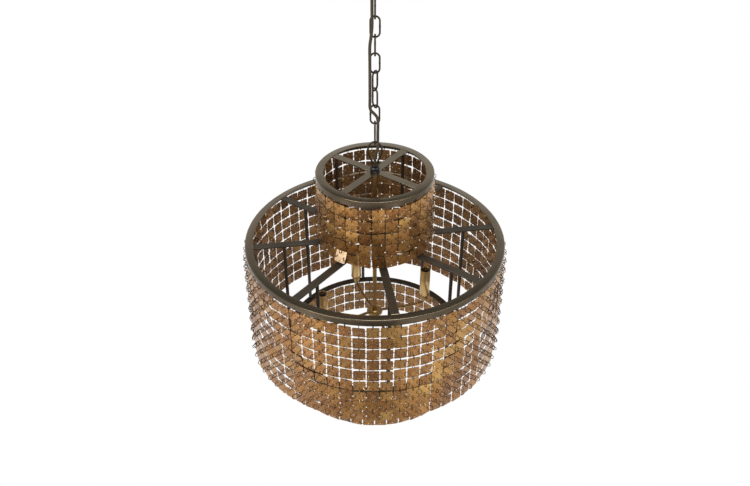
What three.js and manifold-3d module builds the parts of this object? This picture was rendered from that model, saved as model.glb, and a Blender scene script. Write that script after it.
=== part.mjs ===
// Chandelier with three hoops of linked metal plates, four candle lights and a hanging chain
// Millimetres, +Z up. The origin is the middle of the ceiling face and everything hangs below it.
import * as THREE from "three";
import { mergeVertices } from "three/addons/utils/BufferGeometryUtils.js";
import Module from "manifold-3d";

const wasm = await Module();
wasm.setup();

// Fit between pieces that touch
const gap = 0.3;

// Ceiling canopy
const canopyRadius = 62.5;
const canopyDepth = 28;
const canopyWall = 2;
const bracketLength = 100;
const bracketWidth = 22;
const bracketThickness = 3;
const screwReach = 38;
const screwRadius = 2;
const screwHeadRadius = 4.5;
const stubRadius = 5;
const stubLength = 9;
const stubNutRadius = 9;
const stubNutHeight = 5;

// Loops that the chain hooks into
const loopWire = 4;
const loopHeight = 48;
const loopHalfWidth = 13.5;
const collarRadius = 8;
const collarHeight = 4;

// Chain
const chainGap = 0.4;
const linkWire = 3.5;
const linkLength = 41.3;
const linkWidth = 20.3;
const endLinkLength = 50.6;
const endLinkWidth = 14.4;
const linkTurns = [0, 90, 0, 90, 0, 60, 120, 180];
const firstLinkNumber = 9;
const endLinkTurn = 90;

// Supply wire
const wireRadius = 2.8;
const wireBore = 3.2;

// Hoops of rolled angle
const flangeWidth = 16;
const flangeThickness = 3;
const skirtDepth = 13.5;

// Curtains of linked plates
const plateThickness = 1.5;
const rowPitch = 27.15;
const rowSlot = 4.3;
const columnSlot = 2.9;
const firstSlotBelowTop = 16.4;
const plateInset = 0.8;
const ringWidth = 4;
const platesPerFacet = 2;
const platesPerTie = 4;

const bigHoop = { radius: 265, rise: 0, columns: 64, rows: 9, panels: 8, segments: 64, turn: 2.15 };
const smallHoop = { radius: 116, rise: 156, columns: 28, rows: 5, panels: 4, segments: 42, turn: 9.76 };
const lowHoop = { radius: 194, rise: -255, columns: 48, rows: 3, panels: 4, segments: 48, turn: 0 };

// Bars that carry the hoops
const barWidth = 16;
const spiderThickness = 3.5;
const spiderArms = 8;
const spiderTurn = 8.7;
const crossThickness = 3;
const crossArms = 4;
const crossTurn = spiderTurn + 45;
const uprightRadius = 3.5;
const uprightInset = 0.5;
const uprightReach = smallHoop.radius - flangeWidth - uprightRadius - uprightInset;
const rodRadius = 3.5;

// Stem and hub
const stemRadius = 4.3;
const couplingRadius = 7;
const couplingLength = 36;
const topNutRadius = 9;
const topNutHeight = 12;
const hubRadius = 17;
const hubHeight = 10;
const hubDrop = 205;
const hubNutRadius = 6;

// Candle lights
const lights = 4;
const lightTurn = 21;
const lightReach = 118;
const armRadius = 3;
const armSag = 7;
const sleeveRadius = 11;
const sleeveWall = 1.2;
const sleeveTop = -118;
const sleeveBottom = -186;
const cupBottom = -203;
const socketRadius = 8;
const socketHeight = 60;
const socketMouth = 6.2;

// Heights worked down from the ceiling face
const hook = (upper, lower) => (upper + lower) / 2 + chainGap;
const canopyLoopBar = -(canopyDepth + gap + collarHeight + loopHeight - loopWire / 2);
const links = [];
let barHeight = canopyLoopBar;
let wireAbove = loopWire;
linkTurns.forEach((turn, i) => {
  const top = barHeight + hook(wireAbove, linkWire);
  const bottom = top - (linkLength - linkWire);
  links.push({ name: `link_${firstLinkNumber - i}`, top, bottom, turn, width: linkWidth });
  barHeight = bottom;
  wireAbove = linkWire;
});
const endTop = barHeight + hook(linkWire, linkWire);
const endBottom = endTop - (endLinkLength - linkWire);
links.push({ name: "end_link", top: endTop, bottom: endBottom, turn: endLinkTurn, width: endLinkWidth });
const lampLoopBar = endBottom + hook(linkWire, loopWire);
const stackBelowLoop = loopHeight - loopWire / 2 + collarHeight + gap + topNutHeight + gap;
const lampTop = lampLoopBar - stackBelowLoop - smallHoop.rise;

const chandelier = new THREE.Group();
chandelier.name = "chandelier";
const lamp = new THREE.Group();
lamp.name = "lamp";
lamp.position.z = lampTop;
chandelier.add(lamp);

// Materials
const metal = (color, roughness, metalness = 0.85) =>
  new THREE.MeshStandardMaterial({ color, roughness, metalness });
const bronze = metal(0x4a4238, 0.55);
const chainBronze = metal(0x3c342a, 0.5);
const brass = metal(0x8a7038, 0.4);
const sleeveBrass = metal(0xa58250, 0.45);
const copperPlates = metal(0x8c552d, 0.5);
const goldPlates = metal(0xa5783c, 0.5);
const fabric = metal(0x4b3a24, 0.9, 0);
const porcelain = metal(0x2e2a26, 0.7, 0);
const steel = metal(0x8d8d8a, 0.45);

function addMesh(group, name, geometry, material) {
  const mesh = new THREE.Mesh(geometry, material);
  mesh.name = name;
  group.add(mesh);
  return mesh;
}

const radians = (degrees) => (degrees * Math.PI) / 180;

// Turn a profile of radius and height about the vertical axis, whichever way round it is listed
function turned(profile, segments) {
  const points = profile.map(([radius, z]) => new THREE.Vector2(radius, z));
  if (THREE.ShapeUtils.area(points) < 0) points.reverse();
  if (points[0].x > 0) points.push(points[0].clone());
  return new THREE.LatheGeometry(points, segments).rotateX(Math.PI / 2);
}

function solidOf(geometry) {
  const bare = new THREE.BufferGeometry();
  bare.setAttribute("position", geometry.getAttribute("position"));
  if (geometry.index) bare.setIndex(geometry.index);
  const { attributes, index } = mergeVertices(bare, 1e-3);
  const vertProperties = new Float32Array(attributes.position.array);
  const triVerts = new Uint32Array(index.array);
  return new wasm.Manifold(new wasm.Mesh({ numProp: 3, vertProperties, triVerts }));
}

function geometryOf(solid) {
  const { vertProperties, triVerts } = solid.getMesh();
  return indexed(Array.from(vertProperties), Array.from(triVerts));
}

// Join overlapping geometries into one closed solid
function joined(...geometries) {
  return geometryOf(wasm.Manifold.union(geometries.map(solidOf)));
}

function cutAway(geometry, ...cutters) {
  return geometryOf(cutters.reduce((left, cutter) => left.subtract(solidOf(cutter)), solidOf(geometry)));
}

function circle(radius, sides) {
  const shape = new THREE.Shape();
  for (let i = 0; i < sides; i += 1) {
    const a = ((i + 0.5) / sides) * 2 * Math.PI;
    const x = radius * Math.cos(a);
    const y = radius * Math.sin(a);
    if (i === 0) shape.moveTo(x, y);
    else shape.lineTo(x, y);
  }
  shape.closePath();
  return shape;
}

// A round rod that follows a curve
function rod(curve, radius, steps, sides = 8) {
  return new THREE.ExtrudeGeometry(circle(radius, sides), { steps, extrudePath: curve });
}

// An upright round bar between two heights
function post(radius, bottom, top, sides = 12) {
  const geometry = new THREE.CylinderGeometry(radius, radius, top - bottom, sides);
  return geometry.rotateX(Math.PI / 2).translate(0, 0, (top + bottom) / 2);
}

// A smooth curve sampled evenly between its points, so that long straight runs stay light
class RoutedCurve extends THREE.CatmullRomCurve3 {
  getUtoTmapping(u) {
    return u;
  }
}

function routed(points) {
  return new RoutedCurve(points.map(([x, y, z]) => new THREE.Vector3(x, y, z)), false, "centripetal");
}

function indexed(positions, index) {
  const geometry = new THREE.BufferGeometry();
  geometry.setAttribute("position", new THREE.Float32BufferAttribute(positions, 3));
  geometry.setIndex(index);
  geometry.computeVertexNormals();
  return geometry;
}

// A chain link in the XZ plane: two half circles joined by straight sides
function linkSolid(length, width) {
  const bends = 5;
  const sides = 6;
  const halfSide = (length - width) / 2;
  const radius = (width - linkWire) / 2;
  const positions = [];
  for (let i = 0; i < 2 * (bends + 1); i += 1) {
    const lower = i > bends;
    const a = ((lower ? i - 1 : i) / bends) * Math.PI;
    const x = radius * Math.cos(a);
    const z = (lower ? -halfSide : halfSide) + radius * Math.sin(a);
    for (let j = 0; j < sides; j += 1) {
      const b = ((j + 0.5) / sides) * 2 * Math.PI;
      const out = (linkWire / 2) * Math.cos(b);
      positions.push(x + out * Math.cos(a), (linkWire / 2) * Math.sin(b), z + out * Math.sin(a));
    }
  }
  const rings = 2 * (bends + 1);
  const index = [];
  for (let i = 0; i < rings; i += 1) {
    for (let j = 0; j < sides; j += 1) {
      const a = i * sides + j;
      const b = ((i + 1) % rings) * sides + j;
      const c = ((i + 1) % rings) * sides + ((j + 1) % sides);
      const d = i * sides + ((j + 1) % sides);
      index.push(a, c, b, a, d, c);
    }
  }
  return indexed(positions, index);
}

// A pear shaped loop that stands on a bored collar, with an optional threaded stub below it
function loopSolid(stub) {
  const shoulder = loopHalfWidth;
  const crown = loopHeight - loopWire / 2;
  const leg = wireBore + loopWire / 2 + 0.2;
  const half = [
    [leg, -collarHeight / 2],
    [leg + 0.8, 0.11 * crown],
    [0.7 * shoulder, 0.29 * crown],
    [0.93 * shoulder, 0.47 * crown],
    [shoulder, 0.63 * crown],
    [0.8 * shoulder, 0.85 * crown],
    [0.42 * shoulder, 0.97 * crown],
  ];
  const mirrored = half.map(([x, z]) => [-x, z]).reverse();
  const route = routed([...half, [0, crown], ...mirrored].map(([x, z]) => [x, 0, z]));
  const bottom = -collarHeight - stub;
  const collar = [
    [wireBore, bottom],
    [stub ? stubRadius : collarRadius, bottom],
    [stub ? stubRadius : collarRadius, -collarHeight],
    [collarRadius, -collarHeight],
    [collarRadius, 0],
    [wireBore, 0],
  ];
  const profile = stub ? collar : collar.filter((_, i) => i !== 2 && i !== 3);
  return joined(rod(route, loopWire / 2, 22, 6), turned(profile, 16));
}

// A rolled angle hoop: a flat flange on top and a skirt round its rim
function hoopProfile({ radius }) {
  return [
    [radius - flangeWidth, -flangeThickness],
    [radius - flangeThickness, -flangeThickness],
    [radius - flangeThickness, -skirtDepth],
    [radius, -skirtDepth],
    [radius, 0],
    [radius - flangeWidth, 0],
  ];
}

// The arms meet in a star, so the outline is one shape with a hole for the stem
function star(arms, reach, thickness) {
  const half = barWidth / 2;
  const notch = half / Math.sin(Math.PI / arms);
  const shape = new THREE.Shape();
  for (let k = 0; k < arms; k += 1) {
    const a = (k / arms) * 2 * Math.PI;
    const corners = [
      [reach, -half],
      [reach, half],
    ].map(([x, y]) => [x * Math.cos(a) - y * Math.sin(a), x * Math.sin(a) + y * Math.cos(a)]);
    const between = a + Math.PI / arms;
    corners.push([notch * Math.cos(between), notch * Math.sin(between)]);
    corners.forEach(([x, y], i) => (k + i === 0 ? shape.moveTo(x, y) : shape.lineTo(x, y)));
  }
  shape.closePath();
  shape.holes.push(circle(stemRadius + gap, 12));
  const geometry = new THREE.ExtrudeGeometry(shape, { depth: thickness, bevelEnabled: false });
  return geometry.translate(0, 0, -thickness);
}

// One panel of a curtain: rows of flat facets, one for each pair of plates, with ties between the rows
function curtainPanel(hoop, panel) {
  const columns = hoop.columns / hoop.panels;
  const pitch = (2 * Math.PI) / hoop.columns;
  const outer = hoop.radius - plateInset;
  const inner = outer - plateThickness;
  const start = radians(hoop.turn) + panel * columns * pitch;
  const inset = columnSlot / 2 / outer;
  const tieHalf = ringWidth / 2 / outer;
  const stations = [start + inset];
  const tied = new Set();
  for (let j = 1; j < columns; j += 1) {
    if (j % platesPerTie === platesPerFacet) {
      tied.add(stations.length);
      stations.push(start + j * pitch - tieHalf, start + j * pitch + tieHalf);
    } else if (j % platesPerFacet === 0) stations.push(start + j * pitch);
  }
  stations.push(start + columns * pitch - inset);
  const levels = [-skirtDepth - gap];
  for (let row = 0; row <= hoop.rows; row += 1) {
    const slot = -firstSlotBelowTop - row * rowPitch;
    if (row > 0) levels.push(slot + rowSlot / 2);
    if (row < hoop.rows) levels.push(slot - rowSlot / 2);
  }
  const facets = stations.length - 1;
  const cells = levels.length - 1;
  const solid = (cell, facet) =>
    cell >= 0 && cell < cells && facet >= 0 && facet < facets && (cell % 2 === 1 || tied.has(facet));
  const positions = [];
  stations.forEach((a) => {
    levels.forEach((z) => {
      positions.push(inner * Math.cos(a), inner * Math.sin(a), z);
      positions.push(outer * Math.cos(a), outer * Math.sin(a), z);
    });
  });
  const corner = (station, level, side) => (station * levels.length + level) * 2 + side;
  const index = [];
  const quad = (a, b, c, d) => index.push(a, b, c, a, c, d);
  for (let f = 0; f < facets; f += 1) {
    for (let c = 0; c < cells; c += 1) {
      if (!solid(c, f)) continue;
      const at = (station, level, side) => corner(f + station, c + level, side);
      quad(at(0, 1, 1), at(1, 1, 1), at(1, 0, 1), at(0, 0, 1));
      quad(at(0, 0, 0), at(1, 0, 0), at(1, 1, 0), at(0, 1, 0));
      if (!solid(c - 1, f)) quad(at(0, 0, 0), at(0, 0, 1), at(1, 0, 1), at(1, 0, 0));
      if (!solid(c + 1, f)) quad(at(0, 1, 0), at(1, 1, 0), at(1, 1, 1), at(0, 1, 1));
      if (!solid(c, f - 1)) quad(at(0, 0, 0), at(0, 1, 0), at(0, 1, 1), at(0, 0, 1));
      if (!solid(c, f + 1)) quad(at(1, 0, 1), at(1, 1, 1), at(1, 1, 0), at(1, 0, 0));
    }
  }
  return indexed(positions, index);
}

// Ceiling fitting
const bracketShape = new THREE.Shape();
bracketShape.moveTo(-bracketLength / 2, -bracketWidth / 2);
bracketShape.lineTo(bracketLength / 2, -bracketWidth / 2);
bracketShape.lineTo(bracketLength / 2, bracketWidth / 2);
bracketShape.lineTo(-bracketLength / 2, bracketWidth / 2);
bracketShape.closePath();
[-1, 1].forEach((side) => {
  const hole = circle(screwRadius + gap, 12).getPoints();
  bracketShape.holes.push(new THREE.Path(hole.map((p) => new THREE.Vector2(p.x + side * screwReach, p.y))));
});
const bracket = new THREE.ExtrudeGeometry(bracketShape, { depth: bracketThickness, bevelEnabled: false });
addMesh(chandelier, "canopy_bracket", bracket.translate(0, 0, -bracketThickness), steel);

const canopyDish = turned(
  [
    [canopyRadius, 0],
    [canopyRadius, -0.15 * canopyDepth],
    [0.9 * canopyRadius, -0.6 * canopyDepth],
    [0.78 * canopyRadius, -canopyDepth],
    [stubRadius + gap, -canopyDepth],
    [stubRadius + gap, canopyWall - canopyDepth],
    [0.78 * canopyRadius - canopyWall, canopyWall - canopyDepth],
    [0.9 * canopyRadius - canopyWall, -0.6 * canopyDepth + 0.5],
    [canopyRadius - canopyWall, -0.15 * canopyDepth],
    [canopyRadius - canopyWall, 0],
  ],
  24,
);
const screwHoles = [-1, 1].map((side) =>
  post(screwRadius + gap, -canopyDepth - 1, canopyWall - canopyDepth + 1, 10).translate(side * screwReach, 0, 0),
);
addMesh(chandelier, "canopy", cutAway(canopyDish, ...screwHoles), bronze);

[-1, 1].forEach((side, i) => {
  const headTop = -canopyDepth - gap;
  const screw = turned(
    [
      [0, headTop - 0.9 * screwHeadRadius],
      [0.7 * screwHeadRadius, headTop - 0.9 * screwHeadRadius],
      [screwHeadRadius, headTop - 0.4 * screwHeadRadius],
      [screwHeadRadius, headTop],
      [screwRadius, headTop],
      [screwRadius, -0.5],
      [0, -0.5],
    ],
    8,
  );
  addMesh(chandelier, `canopy_screw_${i + 1}`, screw.translate(side * screwReach, 0, 0), brass);
});

const canopyLoop = addMesh(chandelier, "canopy_loop", loopSolid(stubLength), chainBronze);
canopyLoop.rotation.set(Math.PI, 0, Math.PI / 2);
canopyLoop.position.z = -canopyDepth - gap - collarHeight;

const stubNut = turned(
  [
    [stubRadius + gap, 0],
    [stubNutRadius, 0],
    [stubNutRadius, stubNutHeight],
    [stubRadius + gap, stubNutHeight],
  ],
  18,
);
addMesh(chandelier, "canopy_nut", stubNut.translate(0, 0, canopyWall - canopyDepth + gap), steel);

// Chain
links.forEach(({ name, top, bottom, turn, width }) => {
  const link = addMesh(chandelier, name, linkSolid(top - bottom + linkWire, width), chainBronze);
  link.position.z = (top + bottom) / 2;
  link.rotation.z = radians(turn);
});

// The supply wire leaves the ceiling beside the bracket, runs down the chain and through the stem
const beside = linkWire / 2 + wireRadius + gap + 0.55;
const wide = 1.7 * beside;
const linkBars = new Map(links.map((link) => [link.name, link]));
const middle = (name) => (linkBars.get(name).top + linkBars.get(name).bottom) / 2;
const collarTop = -canopyDepth - gap - collarHeight;
const crossing = linkBars.get("link_3").bottom;
const hubTop = lampTop - hubDrop + hubHeight;
const wireRoute = routed([
  [0, bracketWidth / 2 + 6, -1],
  [0, bracketWidth / 2 + 5, -6],
  [0, 8, -0.36 * canopyDepth],
  [0, 2, -0.5 * canopyDepth],
  [0, 0, stubLength - canopyDepth - 4],
  [0, 0, collarTop - 4],
  [-0.25 * beside, -0.25 * beside, collarTop - 11],
  [-0.8 * beside, -0.8 * beside, collarTop - 24],
  [-beside, -beside, linkBars.get("link_9").top + 5],
  [-beside, -beside, middle("link_9")],
  [-beside, -beside, middle("link_8")],
  [-beside, -beside, middle("link_7")],
  [-0.8 * wide, -beside, linkBars.get("link_7").bottom],
  [-wide, -beside, middle("link_6")],
  [-wide, -beside, middle("link_5")],
  [-wide, -beside, middle("link_4")],
  [-wide, -beside, middle("link_3")],
  [-wide, -beside, crossing + 2],
  [-0.75 * wide, -beside, crossing - 5],
  [-0.2 * beside, -beside, crossing - 11],
  [0.7 * beside, -beside, crossing - 18],
  [beside, -beside, endTop + 3],
  [beside, -beside, (endTop + endBottom) / 2],
  [beside, -beside, lampLoopBar + 4],
  [beside, -beside, endBottom - 6],
  [0.7 * beside, -0.7 * beside, endBottom - 14],
  [0.2 * beside, -0.2 * beside, endBottom - 26],
  [0, 0, endBottom - 36],
  [0, 0, endBottom - 60],
  [0, 0, hubTop - 4],
]);
addMesh(chandelier, "supply_wire", rod(wireRoute, wireRadius, 58, 6), fabric);

// Lamp body: heights below are measured from the top of the big hoop
const hangingLoop = addMesh(lamp, "hanging_loop", loopSolid(0), chainBronze);
hangingLoop.position.z = lampLoopBar - lampTop - (loopHeight - loopWire / 2);

const nutBottom = smallHoop.rise + gap;
const topNut = turned(
  [
    [stemRadius + gap, nutBottom],
    [topNutRadius, nutBottom],
    [topNutRadius + 0.6, nutBottom + 0.3 * topNutHeight],
    [topNutRadius, nutBottom + 0.75 * topNutHeight],
    [0.75 * topNutRadius, nutBottom + topNutHeight],
    [stemRadius + gap, nutBottom + topNutHeight],
  ],
  20,
);
addMesh(lamp, "top_nut", topNut, bronze);

[
  ["small", smallHoop],
  ["big", bigHoop],
].forEach(([name, hoop]) => {
  const ring = turned(hoopProfile(hoop), hoop.segments);
  addMesh(lamp, `${name}_hoop`, ring, bronze).position.z = hoop.rise;
});

// The arms stop just inside the flange of their hoop
const reachOf = (hoop) => (hoop.radius - flangeWidth) * Math.cos(Math.PI / hoop.segments) - 0.6;
const topCross = addMesh(lamp, "top_cross", star(crossArms, reachOf(smallHoop), crossThickness), bronze);
topCross.position.z = smallHoop.rise;
topCross.rotation.z = radians(crossTurn);
const spider = addMesh(lamp, "spider", star(spiderArms, reachOf(bigHoop), spiderThickness), bronze);
spider.rotation.z = radians(spiderTurn);

const crossBottom = smallHoop.rise - crossThickness;
for (let k = 0; k < crossArms; k += 1) {
  const holder = new THREE.Group();
  holder.rotation.z = radians(crossTurn + (360 / crossArms) * k);
  lamp.add(holder);
  const upright = post(uprightRadius, gap, crossBottom - gap);
  addMesh(holder, `upright_${k + 1}`, upright, bronze).position.x = uprightReach;
}

// The lowest hoop hangs from the spider on rods that stand on its flange
const rodReach = lowHoop.radius - flangeWidth / 2;
const rods = [];
for (let k = 0; k < spiderArms; k += 1) {
  const bar = post(rodRadius, lowHoop.rise - 1, -spiderThickness - gap, 8);
  rods.push(bar.translate(rodReach, 0, 0).rotateZ(radians(spiderTurn + (360 / spiderArms) * k)));
}
const lowRing = turned(hoopProfile(lowHoop), lowHoop.segments).translate(0, 0, lowHoop.rise);
addMesh(lamp, "lower_hoop", joined(lowRing, ...rods), bronze);

// Stem, coupling and hub
const hubBottom = -hubDrop;
const stemBottom = hubBottom + hubHeight / 2;
const tube = (inner, outer, bottom, top, sides) =>
  turned(
    [
      [inner, bottom],
      [outer, bottom],
      [outer, top],
      [inner, top],
    ],
    sides,
  );
addMesh(lamp, "stem", tube(wireBore, stemRadius, stemBottom + gap, nutBottom + topNutHeight - 0.5, 16), brass);
const couplingTop = crossBottom - gap;
const coupling = tube(stemRadius + gap, couplingRadius, couplingTop - couplingLength, couplingTop, 20);
addMesh(lamp, "stem_coupling", coupling, brass);

const hub = turned(
  [
    [0, hubBottom],
    [0.8 * hubRadius, hubBottom],
    [hubRadius, hubBottom + 0.25 * hubHeight],
    [hubRadius, hubBottom + 0.85 * hubHeight],
    [0.9 * hubRadius, hubBottom + hubHeight],
    [stemRadius + gap, hubBottom + hubHeight],
    [stemRadius + gap, stemBottom],
    [0, stemBottom],
  ],
  24,
);
addMesh(lamp, "hub", hub, brass);
const hubNut = turned(
  [
    [0, hubBottom - gap - 2.2 * hubNutRadius],
    [0.5 * hubNutRadius, hubBottom - gap - 2 * hubNutRadius],
    [hubNutRadius, hubBottom - gap - 1.2 * hubNutRadius],
    [0.8 * hubNutRadius, hubBottom - gap - 0.4 * hubNutRadius],
    [1.2 * hubNutRadius, hubBottom - gap],
    [0, hubBottom - gap],
  ],
  16,
);
addMesh(lamp, "hub_nut", hubNut, brass);

// Candle lights on arms that leave the hub
const armHeight = hubBottom + 0.45 * hubHeight;
const cupHeight = sleeveBottom - cupBottom;
for (let k = 0; k < lights; k += 1) {
  const holder = new THREE.Group();
  holder.rotation.z = radians(lightTurn + (360 / lights) * k);
  lamp.add(holder);
  const armRoute = routed([
    [hubRadius + gap, 0, armHeight],
    [0.3 * lightReach, 0, armHeight - 0.4 * armSag],
    [0.6 * lightReach, 0, armHeight - armSag],
    [0.85 * lightReach, 0, cupBottom - 1.8 * armRadius],
    [0.97 * lightReach, 0, cupBottom - 1.2 * armRadius],
    [lightReach, 0, cupBottom + 0.7 * armRadius],
  ]);
  const cup = turned(
    [
      [0, cupBottom],
      [0.5 * sleeveRadius, cupBottom],
      [0.75 * sleeveRadius, cupBottom + 0.3 * cupHeight],
      [0.82 * sleeveRadius, sleeveBottom - 4],
      [sleeveRadius + 0.5, sleeveBottom - 2],
      [sleeveRadius + 0.5, sleeveBottom],
      [0, sleeveBottom],
    ],
    16,
  ).translate(lightReach, 0, 0);
  addMesh(holder, `arm_${k + 1}`, joined(rod(armRoute, armRadius, 9, 6), cup), brass);
  const sleeve = tube(sleeveRadius - sleeveWall, sleeveRadius, sleeveBottom + gap, sleeveTop, 16);
  addMesh(holder, `sleeve_${k + 1}`, sleeve, sleeveBrass).position.x = lightReach;
  const socketBottom = sleeveBottom + gap;
  const socketTop = socketBottom + socketHeight;
  const socket = turned(
    [
      [0, socketBottom],
      [socketRadius, socketBottom],
      [socketRadius, socketTop],
      [socketMouth, socketTop],
      [socketMouth, socketTop - 0.4 * socketHeight],
      [0, socketTop - 0.4 * socketHeight],
    ],
    12,
  );
  addMesh(holder, `socket_${k + 1}`, socket, porcelain).position.x = lightReach;
}

// Curtains of linked plates
[
  ["small", smallHoop],
  ["big", bigHoop],
  ["lower", lowHoop],
].forEach(([name, hoop]) => {
  for (let panel = 0; panel < hoop.panels; panel += 1) {
    const plates = panel % 2 ? goldPlates : copperPlates;
    addMesh(lamp, `${name}_curtain_${panel + 1}`, curtainPanel(hoop, panel), plates).position.z = hoop.rise;
  }
});

export default chandelier;
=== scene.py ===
import math
import random

import bpy
import numpy as np
from mathutils import Matrix, Vector
from mathutils.geometry import delaunay_2d_cdt


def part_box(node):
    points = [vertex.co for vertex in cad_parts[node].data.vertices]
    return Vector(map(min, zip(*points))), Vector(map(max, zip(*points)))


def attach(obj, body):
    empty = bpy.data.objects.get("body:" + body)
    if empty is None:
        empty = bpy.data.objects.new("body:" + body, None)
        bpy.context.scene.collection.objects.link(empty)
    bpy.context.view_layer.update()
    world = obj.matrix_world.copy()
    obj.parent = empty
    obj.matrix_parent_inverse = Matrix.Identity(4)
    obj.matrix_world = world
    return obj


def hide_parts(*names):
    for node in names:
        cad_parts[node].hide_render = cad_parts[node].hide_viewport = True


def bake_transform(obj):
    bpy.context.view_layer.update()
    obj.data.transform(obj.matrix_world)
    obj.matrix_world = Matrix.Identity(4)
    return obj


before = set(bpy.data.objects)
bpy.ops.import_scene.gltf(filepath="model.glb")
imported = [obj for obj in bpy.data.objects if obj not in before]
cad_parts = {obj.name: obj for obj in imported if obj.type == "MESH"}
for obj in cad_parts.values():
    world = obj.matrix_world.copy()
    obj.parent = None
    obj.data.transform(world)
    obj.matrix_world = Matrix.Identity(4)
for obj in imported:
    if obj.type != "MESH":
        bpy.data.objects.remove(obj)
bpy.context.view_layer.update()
mm = 0.001
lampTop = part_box("big_hoop")[1][2] / mm  # height of the big hoop's flange, mm below the ceiling face
print("frame loaded")

# Camera, solved from the three hoops in the photograph
cameraLook = {
    "lens": 40.243,
    "sensor": 36.0,
    "pitch": 35.574,
    "roll": 0.083,
    "offset": (0.44, -1407.3, 989.2),
}
cameraData = bpy.data.cameras.new("camera")
cameraData.lens = cameraLook["lens"]
cameraData.sensor_width = cameraLook["sensor"]
cameraData.sensor_fit = "HORIZONTAL"
cameraData.clip_start = 0.01
cameraData.clip_end = 100
camera = bpy.data.objects.new("camera", cameraData)
bpy.context.scene.collection.objects.link(camera)
pitch = math.radians(cameraLook["pitch"])
roll = math.radians(cameraLook["roll"])
forward = Vector((0, math.cos(pitch), -math.sin(pitch)))
level = Vector((1, 0, 0))
rise = level.cross(forward)
rightAxis = math.cos(roll) * level + math.sin(roll) * rise
upAxis = -math.sin(roll) * level + math.cos(roll) * rise
turn = Matrix((rightAxis, upAxis, -forward)).transposed()
x, y, z = cameraLook["offset"]
camera.matrix_world = Matrix.Translation((x * mm, y * mm, (z + lampTop) * mm)) @ turn.to_4x4()
bpy.context.scene.camera = camera
bpy.context.scene.view_settings.view_transform = "Standard"


def paint(red, green, blue):
    values = [v / 255 for v in (red, green, blue)]
    return tuple(v / 12.92 if v < 0.04045 else ((v + 0.055) / 1.055) ** 2.4 for v in values) + (1.0,)


# Surroundings: a pale floor, soft lights and a pale world, white to the camera
stage = {
    "floorDrop": 1.75,
    "floorSize": 60.0,
    "floorColor": (0.86, 0.86, 0.86, 1),
    "floorNear": 0.27,
    "floorFar": 1.0,
    "floorFade": (0.2, 1.7),
    "floorDarkSpot": (0.25, -1.95, 0.0),
    "worldLow": 1.0,
    "worldHigh": 0.13,
    "worldRise": (0.5, 0.68),
    "aimDrop": 0.1,
}
world = bpy.data.worlds.new("studio")
bpy.context.scene.world = world
world.use_nodes = True
worldNodes = world.node_tree.nodes
worldLinks = world.node_tree.links
background = worldNodes["Background"]
coords = worldNodes.new("ShaderNodeTexCoord")
split = worldNodes.new("ShaderNodeSeparateXYZ")
worldRamp = worldNodes.new("ShaderNodeMapRange")
worldRamp.interpolation_type = "SMOOTHSTEP"
worldRamp.inputs["From Min"].default_value = stage["worldRise"][0]
worldRamp.inputs["From Max"].default_value = stage["worldRise"][1]
worldRamp.inputs["To Min"].default_value = stage["worldLow"]
worldRamp.inputs["To Max"].default_value = stage["worldHigh"]
path = worldNodes.new("ShaderNodeLightPath")
strength = worldNodes.new("ShaderNodeMix")
strength.inputs["B"].default_value = 1.0
worldLinks.new(coords.outputs["Generated"], split.inputs[0])
worldLinks.new(split.outputs["Z"], worldRamp.inputs["Value"])
worldLinks.new(path.outputs["Is Camera Ray"], strength.inputs["Factor"])
worldLinks.new(worldRamp.outputs["Result"], strength.inputs["A"])
worldLinks.new(strength.outputs["Result"], background.inputs["Strength"])
background.inputs["Color"].default_value = (1, 1, 1, 1)

floorMaterial = bpy.data.materials.new("floor")
floorMaterial.use_nodes = True
floorNodes = floorMaterial.node_tree.nodes
floorLinks = floorMaterial.node_tree.links
floorCoords = floorNodes.new("ShaderNodeTexCoord")
floorAway = floorNodes.new("ShaderNodeVectorMath")
floorAway.operation = "DISTANCE"
floorAway.inputs[1].default_value = stage["floorDarkSpot"]
floorFade = floorNodes.new("ShaderNodeMapRange")
floorFade.interpolation_type = "SMOOTHSTEP"
floorFade.inputs["From Min"].default_value = stage["floorFade"][0]
floorFade.inputs["From Max"].default_value = stage["floorFade"][1]
floorFade.inputs["To Min"].default_value = stage["floorNear"]
floorFade.inputs["To Max"].default_value = stage["floorFar"]
floorLinks.new(floorCoords.outputs["Object"], floorAway.inputs[0])
floorLinks.new(floorAway.outputs["Value"], floorFade.inputs["Value"])
floorNodes["Principled BSDF"].inputs["Base Color"].default_value = stage["floorColor"]
floorNodes["Principled BSDF"].inputs["Roughness"].default_value = 0.9
floorPath = floorNodes.new("ShaderNodeLightPath")
glowStrength = floorNodes.new("ShaderNodeMix")  # white to the camera, fading forward in reflections
glowStrength.inputs["B"].default_value = 1.0
floorLinks.new(floorPath.outputs["Is Camera Ray"], glowStrength.inputs["Factor"])
floorLinks.new(floorFade.outputs["Result"], glowStrength.inputs["A"])
glow = floorNodes.new("ShaderNodeEmission")
floorLinks.new(glowStrength.outputs["Result"], glow.inputs["Strength"])
seen = floorNodes.new("ShaderNodeMath")
seen.operation = "MAXIMUM"
floorLinks.new(floorPath.outputs["Is Camera Ray"], seen.inputs[0])
floorLinks.new(floorPath.outputs["Is Glossy Ray"], seen.inputs[1])
either = floorNodes.new("ShaderNodeMixShader")
floorLinks.new(seen.outputs[0], either.inputs["Fac"])
floorLinks.new(floorNodes["Principled BSDF"].outputs[0], either.inputs[1])
floorLinks.new(glow.outputs[0], either.inputs[2])
floorLinks.new(either.outputs[0], floorNodes["Material Output"].inputs["Surface"])
half = stage["floorSize"] / 2
corners = [(-half, -half, 0), (half, -half, 0), (half, half, 0), (-half, half, 0)]
floorMesh = bpy.data.meshes.new("floor")
floorMesh.from_pydata(corners, [], [(0, 1, 2, 3)])
floorMesh.materials.append(floorMaterial)
floor = bpy.data.objects.new("floor", floorMesh)
floor.location.z = -stage["floorDrop"]
bpy.context.scene.collection.objects.link(floor)

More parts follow.
